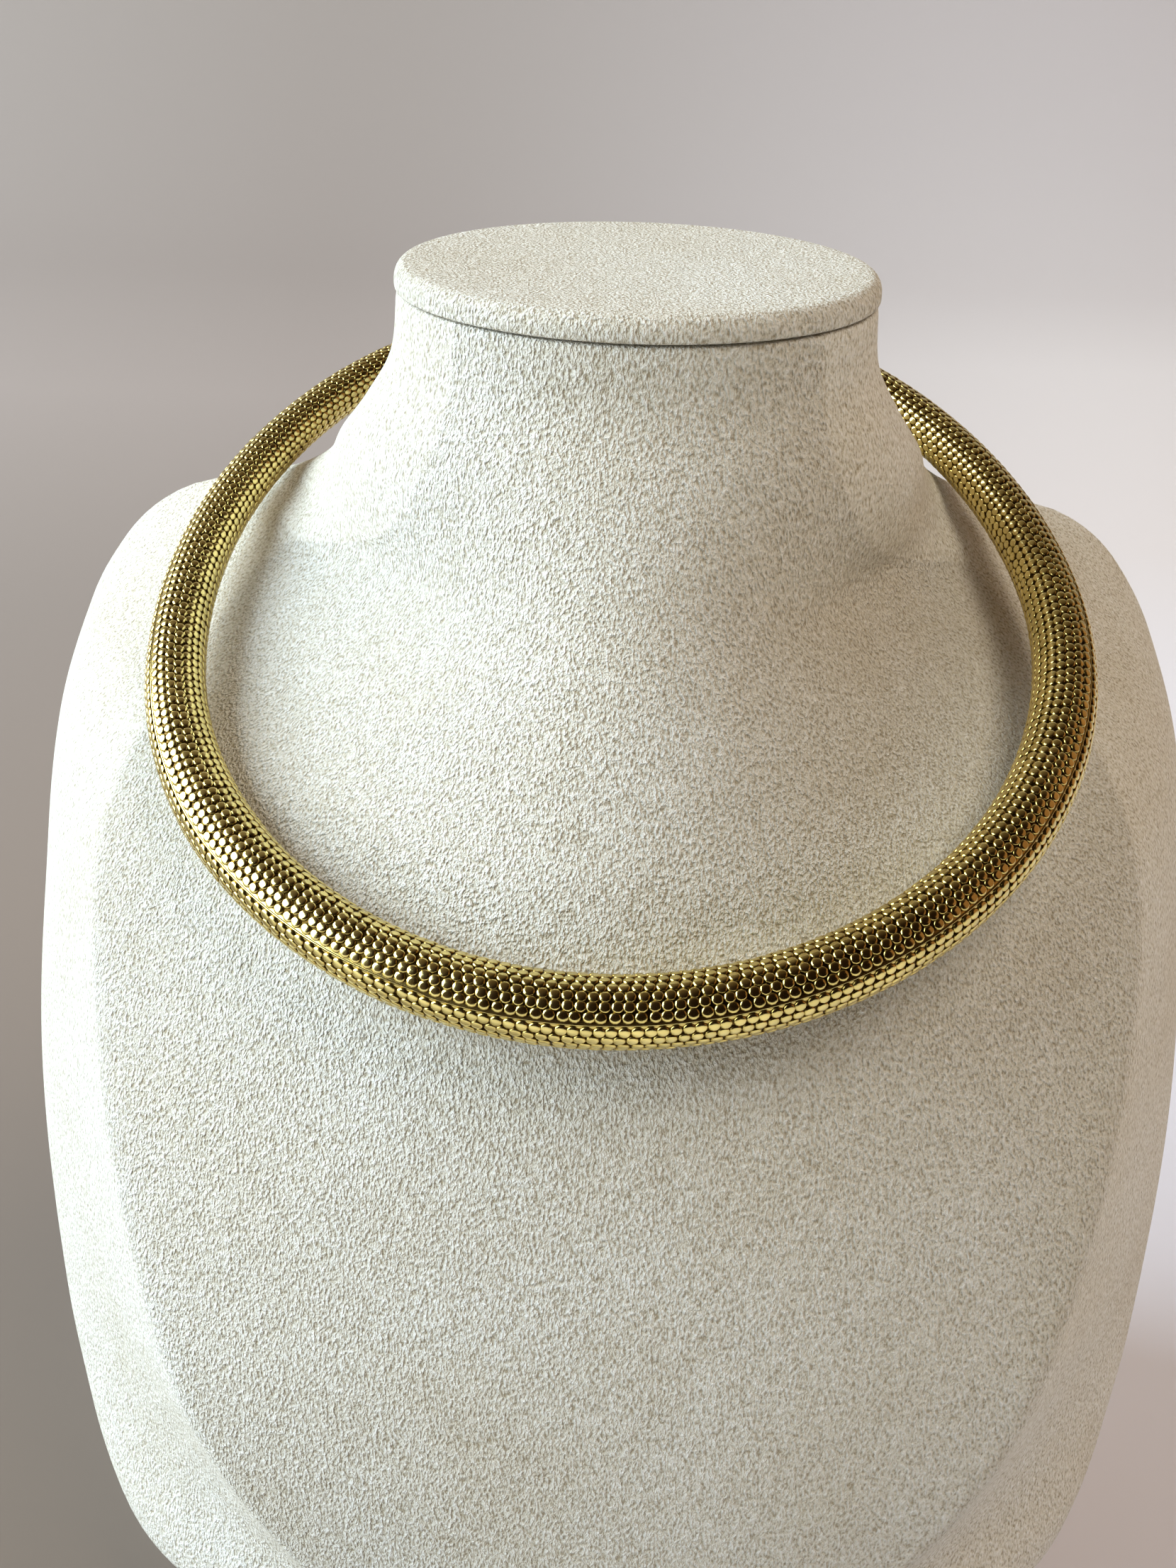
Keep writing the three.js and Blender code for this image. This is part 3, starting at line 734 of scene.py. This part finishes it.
# %% The path as a mesh that carries its own numbers
# Equal steps, ten to a dot: where the tube narrows, the dots keep their length and get narrower
STEPS_PER_DOT = 10
END_MARGIN = 0.9
row_start, row_end = start + END_MARGIN, loop_length - start - END_MARGIN
dots_in_row = int((row_end - row_start) / DOT_SPACING)
stations = np.linspace(row_start, row_end, dots_in_row * STEPS_PER_DOT + 1)
place_at, along, outward, radius, loop_angle = path_at(stations)
path_mesh = bpy.data.meshes.new("collar_path")
path_edges = [(i, i + 1) for i in range(len(stations) - 1)]
path_mesh.from_pydata(mm(place_at).tolist(), path_edges, [])
for label, vectors in (("outward", outward), ("along", along)):
    stored = path_mesh.attributes.new(label, "FLOAT_VECTOR", "POINT")
    stored.data.foreach_set("vector", vectors.ravel())
for label, numbers in (("radius", mm(radius)), ("seam", seam_angle(loop_angle)),
                       ("size", radius / TUBE_RADIUS)):
    stored = path_mesh.attributes.new(label, "FLOAT", "POINT")
    stored.data.foreach_set("value", numbers)
print("a row has", dots_in_row, "dots, and the path", len(stations), "points")


# %% [markdown]
# ## The tree that lays the dots
# Its inputs are the numbers a maker would set: how many rows, the dot's length, width and height,
# the width of the seam's land, how much the rows differ, and the seed. Some random values go by the
# row's number, so a whole row shifts together, and others by the dot's, for tiny errors of the
# press.

# %% Geometry Nodes tree
TREE_INPUTS = {
    "Geometry": "Geometry", "Dot": "Object", "Rows": "Int", "Dots In Row": "Int",
    "First Step": "Int", "Last Step": "Int", "Steps Per Dot": "Int", "Dot Length": "Float",
    "Dot Width": "Float", "Dot Height": "Float", "Skin Drop": "Float", "Land": "Float",
    "Row Differs": "Float", "Press Error": "Float", "Bend Radius": "Float",
    "Tube Up": "Vector", "Material": "Material", "Seed": "Int"}
# A row with a closer spacing holds more dots, so each row is numbered past the end of an even one
SPARE_DOTS = 1.06
# How far a dot lies off its row's line, as a share of how far it slips along it
OFF_LINE = 0.3
MATHS, VECTORS = "ShaderNodeMath", "ShaderNodeVectorMath"


def dots_tree():
    tree = bpy.data.node_groups.new("dots in rows along a tube", "GeometryNodeTree")
    for label, kind in TREE_INPUTS.items():
        tree.interface.new_socket(label, in_out="INPUT", socket_type="NodeSocket" + kind)
    tree.interface.new_socket("Geometry", in_out="OUTPUT", socket_type="NodeSocketGeometry")
    given = add(tree, "NodeGroupInput").outputs

    def out(kind, *values, **settings):
        """The first output of a new node whose first inputs are these values, in order."""
        return add(tree, kind, dict(enumerate(values)), **settings).outputs[0]

    # A point for each dot, and its row and place in the row
    even_dots = out(MATHS, given["Dots In Row"], SPARE_DOTS, operation="MULTIPLY")
    row_points = out(MATHS, even_dots, operation="CEIL")
    number = out("GeometryNodeInputIndex")
    half_on = out(MATHS, number, 0.5, operation="ADD")
    row = out(MATHS, out(MATHS, half_on, row_points, operation="DIVIDE"), operation="FLOOR")
    before_row = out(MATHS, row, row_points, operation="MULTIPLY")
    in_row = out(MATHS, number, before_row, operation="SUBTRACT")
    all_points = out(MATHS, given["Rows"], row_points, operation="MULTIPLY")
    points = out("GeometryNodePoints", all_points)

    # Every random value: its least and most, and the number that it goes by. The first seed is one
    # more than the tree's, and each next one is one more again
    draws = {}
    least_closer = out(MATHS, given["Row Differs"], -1, operation="MULTIPLY")
    for shift, (label, low, high, goes_by) in enumerate([
            ("closer", least_closer, given["Row Differs"], row), ("row start", 0.0, 1.0, row),
            ("slip", -1.0, 1.0, number), ("off line", -1.0, 1.0, number),
            ("wide", 0.485, 0.515, number), ("long", 0.485, 0.515, number),
            ("tall", 0.93, 1.07, number), ("tone", 0.0, 1.0, number)], start=1):
        seed = out(MATHS, given["Seed"], shift, operation="ADD")
        draws[label] = add(tree, "FunctionNodeRandomValue", {
            2: low, 3: high, "ID": goes_by, "Seed": seed}, data_type="FLOAT").outputs[1]

    # How many steps along the path the dot stands
    spacing = out(MATHS, draws["closer"], 1.0, operation="ADD")
    from_start = out(MATHS, in_row, draws["row start"], operation="ADD")
    dots_along = out(MATHS, from_start, spacing, operation="MULTIPLY")
    slip = out(MATHS, draws["slip"], given["Press Error"], operation="MULTIPLY")
    slipped = out(MATHS, dots_along, slip, operation="ADD")
    steps = out(MATHS, slipped, given["Steps Per Dot"], operation="MULTIPLY")
    step = out(MATHS, steps, operation="ROUND")

    # What the path says there
    here = {}
    stored = {"position": out("GeometryNodeInputPosition")}
    for label, kind in (("size", "FLOAT"), ("seam", "FLOAT"), ("radius", "FLOAT"),
                        ("outward", "FLOAT_VECTOR"), ("along", "FLOAT_VECTOR"),
                        ("position", "FLOAT_VECTOR")):
        if label not in stored:
            stored[label] = add(tree, "GeometryNodeInputNamedAttribute", {"Name": label},
                                data_type=kind).outputs["Attribute"]
        here[label] = add(tree, "GeometryNodeSampleIndex", {
            "Geometry": given["Geometry"], "Value": stored[label], "Index": step},
            data_type=kind).outputs[0]

    # How far round the tube the dot's row is, counted from the seam
    free_turn = out(MATHS, 2 * math.pi, given["Land"], operation="SUBTRACT")
    spaces = out(MATHS, given["Rows"], 1.0, operation="SUBTRACT")
    row_step = out(MATHS, free_turn, spaces, operation="DIVIDE")
    press_error = out(MATHS, draws["off line"], given["Press Error"], operation="MULTIPLY")
    off_line = out(MATHS, press_error, OFF_LINE, operation="MULTIPLY")
    rows_round = out(MATHS, row, off_line, operation="ADD")
    past_land = out(MATHS, rows_round, row_step, operation="MULTIPLY")
    half_land = out(MATHS, given["Land"], 0.5, operation="MULTIPLY")
    row_turn = out(MATHS, past_land, half_land, operation="ADD")
    around_tube = out(MATHS, here["seam"], row_turn, operation="ADD")
    cosine = out(MATHS, around_tube, operation="COSINE")
    sine = out(MATHS, around_tube, operation="SINE")

    # The dot's foot on the skin, out from the path along a spoke
    out_part = add(tree, VECTORS, {0: here["outward"], "Scale": cosine}, operation="SCALE")
    up_part = add(tree, VECTORS, {0: given["Tube Up"], "Scale": sine}, operation="SCALE")
    spoke = out(VECTORS, out_part.outputs[0], up_part.outputs[0], operation="ADD")
    drop = out(MATHS, given["Skin Drop"], here["size"], operation="MULTIPLY")
    skin_radius = out(MATHS, here["radius"], drop, operation="SUBTRACT")
    reach = add(tree, VECTORS, {0: spoke, "Scale": skin_radius}, operation="SCALE").outputs[0]
    foot = out(VECTORS, here["position"], reach, operation="ADD")
    placed = add(tree, "GeometryNodeSetPosition", {"Geometry": points, "Position": foot})
    stand = out("FunctionNodeAxesToRotation", spoke, here["along"],
                primary_axis="Z", secondary_axis="X")

    # The dot's size: on the outside of the bend it is stretched along the tube, and on the inside
    # squeezed
    full_width = out(MATHS, given["Dot Width"], here["size"], operation="MULTIPLY")
    wide = out(MATHS, full_width, draws["wide"], operation="MULTIPLY")
    out_from_middle = out(MATHS, cosine, skin_radius, operation="MULTIPLY")
    bend = out(MATHS, out_from_middle, given["Bend Radius"], operation="DIVIDE")
    stretch = out(MATHS, bend, 1.0, operation="ADD")
    full_length = out(MATHS, given["Dot Length"], stretch, operation="MULTIPLY")
    long = out(MATHS, full_length, draws["long"], operation="MULTIPLY")
    full_height = out(MATHS, given["Dot Height"], here["size"], operation="MULTIPLY")
    tall = out(MATHS, full_height, draws["tall"], operation="MULTIPLY")
    scale = out("ShaderNodeCombineXYZ", long, wide, tall)

    # Stand the dots that lie between the first and the last step, and make them one mesh
    just_before = out(MATHS, given["First Step"], 0.5, operation="SUBTRACT")
    after = out(MATHS, step, just_before, operation="GREATER_THAN")
    just_past = out(MATHS, given["Last Step"], 0.5, operation="SUBTRACT")
    before = out(MATHS, step, just_past, operation="LESS_THAN")
    within = out(MATHS, after, before, operation="MULTIPLY")
    shape = add(tree, "GeometryNodeObjectInfo", {"Object": given["Dot"]}).outputs["Geometry"]
    stood = add(tree, "GeometryNodeInstanceOnPoints", {
        "Points": placed.outputs[0], "Selection": within, "Instance": shape, "Rotation": stand,
        "Scale": scale})
    toned = add(tree, "GeometryNodeStoreNamedAttribute", {
        "Geometry": stood.outputs[0], "Name": "tone", "Value": draws["tone"]},
        data_type="FLOAT", domain="INSTANCE")
    real = out("GeometryNodeRealizeInstances", toned.outputs[0])
    finished = add(tree, "GeometryNodeSetMaterial", {
        "Geometry": real, "Material": given["Material"]})
    add(tree, "NodeGroupOutput", {0: finished.outputs[0]})
    print("the dots' tree has", len(tree.nodes), "nodes")
    return tree


laying = dots_tree()

# %% Lay the dots, a quarter of the collar at a time
def lay_dots(name, first_step, last_step):
    """One quarter of the dots, so that no piece has too many faces to keep them all."""
    piece = bpy.data.objects.new(name, path_mesh.copy())
    bpy.context.scene.collection.objects.link(piece)
    modifier = piece.modifiers.new("dots", "NODES")
    modifier.node_group = laying
    values = {"Dot": dot, "Rows": ROWS, "Dots In Row": dots_in_row, "First Step": first_step,
              "Last Step": last_step, "Steps Per Dot": STEPS_PER_DOT,
              "Dot Length": mm(DOT_LENGTH), "Dot Width": mm(DOT_WIDTH),
              "Dot Height": mm(DOT_HEIGHT), "Skin Drop": mm(SKIN_DROP),
              "Land": math.radians(SEAM_LAND_DEG), "Row Differs": ROW_DIFFERS,
              "Press Error": PRESS_ERROR, "Bend Radius": mm(LOOP_BEND_RADIUS),
              "Tube Up": tuple(loop_up), "Material": gold_plate, "Seed": DOTS_SEED}
    for item in laying.interface.items_tree:
        if item.in_out == "INPUT" and item.name in values:
            modifier[item.identifier] = values[item.name]
    piece.update_tag()
    graph = bpy.context.evaluated_depsgraph_get()
    mesh = bpy.data.meshes.new_from_object(piece.evaluated_get(graph), depsgraph=graph)
    piece.modifiers.clear()
    piece.data = mesh
    mesh.name = name
    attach(piece, "root")
    triangles = sum(len(face.vertices) - 2 for face in mesh.polygons)
    print(f"{name}: {len(mesh.polygons)} faces, {triangles} triangles")
    return piece


quarters = [len(stations) * number // 4 for number in range(5)]
quarter_names = ("collar_dots_back_left", "collar_dots_left", "collar_dots_right",
                 "collar_dots_back_right")
for name, first_step, last_step in zip(quarter_names, quarters[:-1], quarters[1:]):
    lay_dots(name, first_step, last_step)
bpy.data.objects.remove(dot)

# %% [markdown]
# ## The clasp
# The clasp is behind the neck, where the photo doesn't reach, so it is one plain barrel, as thick
# as the tube's ends, with a spigot that goes into each of them. Its edges are rounded over
# slightly.

# %% Clasp
SPIGOT_ROUND, BARREL_ROUND = 0.3, 0.4
CLASP_SIDES, CLASP_RISE = 48, 0.95
half_barrel = CLASP_BARREL / 2
barrel_radius = float(tube_radius(math.pi))
spigot_radius = float(path_at(np.array([half_barrel]))[3][0]) - TUBE_WALL - FIT_GAP
# Along the clasp from one end to its middle, each place with its radius
clasp_profile = [(-half_barrel - CLASP_SPIGOT, spigot_radius - SPIGOT_ROUND),
                 (-half_barrel - CLASP_SPIGOT + SPIGOT_ROUND, spigot_radius),
                 (-half_barrel - 0.01, spigot_radius),
                 (-half_barrel, barrel_radius - BARREL_ROUND),
                 (-half_barrel + 0.12, barrel_radius - 0.12)]
clasp_profile += [(x, barrel_radius) for x in np.linspace(-half_barrel + BARREL_ROUND, 0, 8)]
clasp_profile += [(-x, r) for x, r in reversed(clasp_profile[:-1])]
lengths = np.array([x for x, _ in clasp_profile])
place_at, along, outward, _, loop_angle = path_at(lengths)
sides = np.linspace(0, 2 * math.pi, CLASP_SIDES, endpoint=False)
turn_angle = np.repeat(sides[None, :], len(lengths), 0)
clasp_radii = np.repeat(np.array([r for _, r in clasp_profile])[:, None], CLASP_SIDES, 1)
clasp = mesh_from_rings("clasp_barrel", tube_rings(clasp_radii), gold_plate,
                        attributes={"rise": np.full(clasp_radii.shape, CLASP_RISE),
                                    "tone": np.full(clasp_radii.shape, EVEN_TONE)})
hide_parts("collar_clasp")
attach(clasp, "root")
